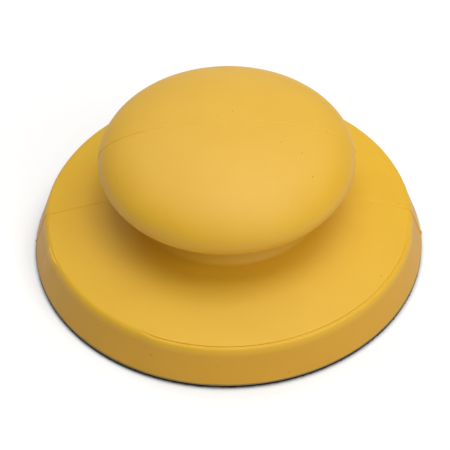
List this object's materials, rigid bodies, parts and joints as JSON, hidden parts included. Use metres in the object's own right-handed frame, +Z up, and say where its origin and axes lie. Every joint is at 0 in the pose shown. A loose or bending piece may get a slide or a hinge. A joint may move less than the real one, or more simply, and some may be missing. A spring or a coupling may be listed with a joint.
{
  "type": "grout float",
  "caption": "Round hand float for working grout: a foamed mushroom palm grip on a tapered disc, with a hook facing underneath that holds loop-backed pads.",
  "frame": {"origin": "centre of the surface the hook tips stand on, on the axis of revolution", "axes": "+Z up along the axis of revolution, from the hook facing to the knob; the mould's parting plane is XZ"},
  "size_m": [0.15, 0.15, 0.0631],
  "materials": {
    "skin": "satin",
    "core": "matte",
    "adhesive": "matte",
    "backcloth": "matte",
    "hooks": "satin"
  },
  "bodies": {
    "root": {"moulded_skin": "skin", "foam_core": "core", "adhesive_film": "adhesive", "facing_backcloth": "backcloth", "hook_pile": "hooks"}
  },
  "joints": []
}
